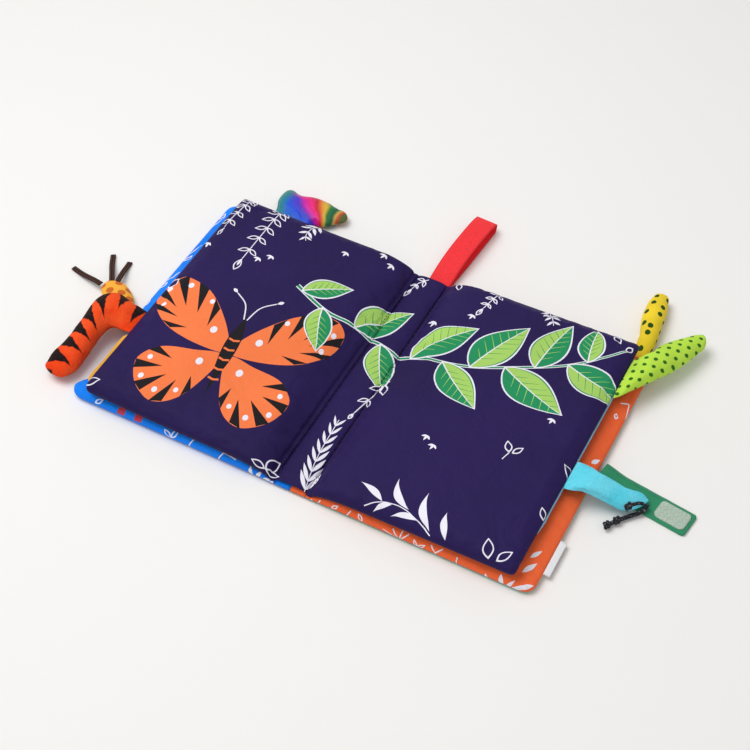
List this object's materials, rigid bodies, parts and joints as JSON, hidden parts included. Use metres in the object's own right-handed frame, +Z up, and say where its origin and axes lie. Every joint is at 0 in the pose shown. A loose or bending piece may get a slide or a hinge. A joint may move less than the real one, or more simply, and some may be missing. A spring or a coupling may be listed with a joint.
{
  "type": "cloth activity book",
  "caption": "Padded cloth book lying open, with turning covers and pages, stuffed cloth tails round its edges, a ribbon loop at its spine and a touch-fastening strap.",
  "frame": {"origin": "middle of the spine strip, on the surface that the open book lies on", "axes": "+X to the reader's right across both pages, +Y up the page towards the ribbon loop, +Z up out of the pages"},
  "size_m": [0.4667, 0.2736, 0.0235],
  "materials": {
    "green_cloth": "woven polyester, plain",
    "blue_cloth": "printed brushed polyester",
    "orange_cloth": "printed brushed polyester",
    "gold_cloth": "woven polyester, plain",
    "sky_cloth": "woven polyester, plain",
    "navy_cloth": "printed smooth polyester",
    "white_wadding": "loose polyester fibre",
    "crinkle_film": "thin rustling film",
    "squeaker_plastic": "blow-moulded, dull",
    "striped_plush": "short plush",
    "spotted_cloth": "printed plush",
    "rainbow_satin": "satin with a sheen",
    "lime_dotted_cloth": "printed cotton",
    "yellow_dotted_cloth": "printed cotton",
    "blue_fleece": "brushed fleece",
    "brown_tuft": "flat woven tape",
    "red_ribbon": "woven ribbon",
    "strap_webbing": "woven strap",
    "touch_fastener": "hook-and-loop fastener",
    "white_tape": "satin tape",
    "dark_cord": "braided cord"
  },
  "bodies": {
    "back_cover": {"back_cover_outer_cloth": "green_cloth", "back_cover_orange_lining": "orange_cloth", "back_cover_wadding": "white_wadding", "back_cover_crinkle_film": "crinkle_film", "blank_label": "white_tape"},
    "spine": {"spine_outer_cloth": "green_cloth", "spine_blue_lining": "blue_cloth", "spine_orange_lining": "orange_cloth", "spine_backing_cloth": "gold_cloth", "spine_face_cloth": "navy_cloth", "spine_wadding": "white_wadding"},
    "front_cover": {"front_cover_outer_cloth": "green_cloth", "front_cover_blue_lining": "blue_cloth", "front_cover_wadding": "white_wadding", "squeaker": "squeaker_plastic", "loop_patch": "touch_fastener"},
    "left_page": {"left_page_gold_backing": "gold_cloth", "left_page_face_cloth": "navy_cloth", "left_page_wadding": "white_wadding", "left_page_crinkle_film": "crinkle_film"},
    "right_page": {"right_page_sky_backing": "sky_cloth", "right_page_face_cloth": "navy_cloth", "right_page_wadding": "white_wadding", "right_page_crinkle_film": "crinkle_film"},
    "striped_tail": {"striped_tail_cloth": "striped_plush", "striped_tail_stuffing": "white_wadding"},
    "tufted_tail": {"tufted_tail_cloth": "spotted_cloth", "tufted_tail_stuffing": "white_wadding", "tuft_outer": "brown_tuft", "tuft_middle": "brown_tuft", "tuft_inner": "brown_tuft"},
    "rainbow_tail": {"rainbow_tail_cloth": "rainbow_satin", "rainbow_tail_stuffing": "white_wadding"},
    "lime_tail": {"lime_tail_cloth": "lime_dotted_cloth", "lime_tail_stuffing": "white_wadding"},
    "yellow_tail": {"yellow_tail_cloth": "yellow_dotted_cloth", "yellow_tail_stuffing": "white_wadding"},
    "blue_tail": {"blue_tail_cloth": "blue_fleece", "blue_tail_stuffing": "white_wadding", "knotted_cord": "dark_cord"},
    "closing_strap": {"closing_strap": "strap_webbing", "hook_patch": "touch_fastener"},
    "ribbon_loop": {"ribbon_loop": "red_ribbon"}
  },
  "joints": [
    {"name": "spine_fold", "type": "hinge", "parent": "back_cover", "child": "spine", "pos_m": [0.0115, 0, 0.00545], "axis": [0, -1, 0], "range_deg": [-86, 0]},
    {"name": "front_cover_turn", "type": "hinge", "parent": "spine", "child": "front_cover", "pos_m": [-0.0115, 0, 0.00545], "axis": [0, -1, 0], "range_deg": [-86, 0]},
    {"name": "left_page_turn", "type": "hinge", "parent": "front_cover", "child": "left_page", "pos_m": [-0.0115, 0, 0.00545], "axis": [0, 1, 0], "range_deg": [0, 86]},
    {"name": "right_page_turn", "type": "hinge", "parent": "back_cover", "child": "right_page", "pos_m": [0.0115, 0, 0.00545], "axis": [0, -1, 0], "range_deg": [0, 86]},
    {"name": "striped_tail_flop", "type": "hinge", "parent": "left_page", "child": "striped_tail", "pos_m": [-0.1546, -0.0365, 0.01645], "axis": [0, -1, 0], "range_deg": [-30, 0]},
    {"name": "tufted_tail_flop", "type": "hinge", "parent": "front_cover", "child": "tufted_tail", "pos_m": [-0.1666, -0.0298, 0.0041], "axis": [0, 1, 0], "range_deg": [-75, 0]},
    {"name": "rainbow_tail_flop", "type": "hinge", "parent": "front_cover", "child": "rainbow_tail", "pos_m": [-0.119, 0.1026, 0.0041], "axis": [1, 0, 0], "range_deg": [-75, 60]},
    {"name": "lime_tail_flop", "type": "hinge", "parent": "right_page", "child": "lime_tail", "pos_m": [0.1546, 0.068, 0.01775], "axis": [0, -1, 0], "range_deg": [0, 45]},
    {"name": "yellow_tail_flop", "type": "hinge", "parent": "back_cover", "child": "yellow_tail", "pos_m": [0.151, 0.1026, 0.0041], "axis": [1, 0, 0], "range_deg": [-75, 60]},
    {"name": "blue_tail_flop", "type": "hinge", "parent": "right_page", "child": "blue_tail", "pos_m": [0.1546, -0.019, 0.01775], "axis": [0, -1, 0], "range_deg": [0, 35]},
    {"name": "closing_strap_fold", "type": "hinge", "parent": "back_cover", "child": "closing_strap", "pos_m": [0.1666, 0.0005, 0.0041], "axis": [0, -1, 0], "range_deg": [-80, 0]},
    {"name": "ribbon_loop_flop", "type": "hinge", "parent": "spine", "child": "ribbon_loop", "pos_m": [0.0042, 0.1026, 0.00272], "axis": [1, 0, 0], "range_deg": [-60, 60]}
  ]
}
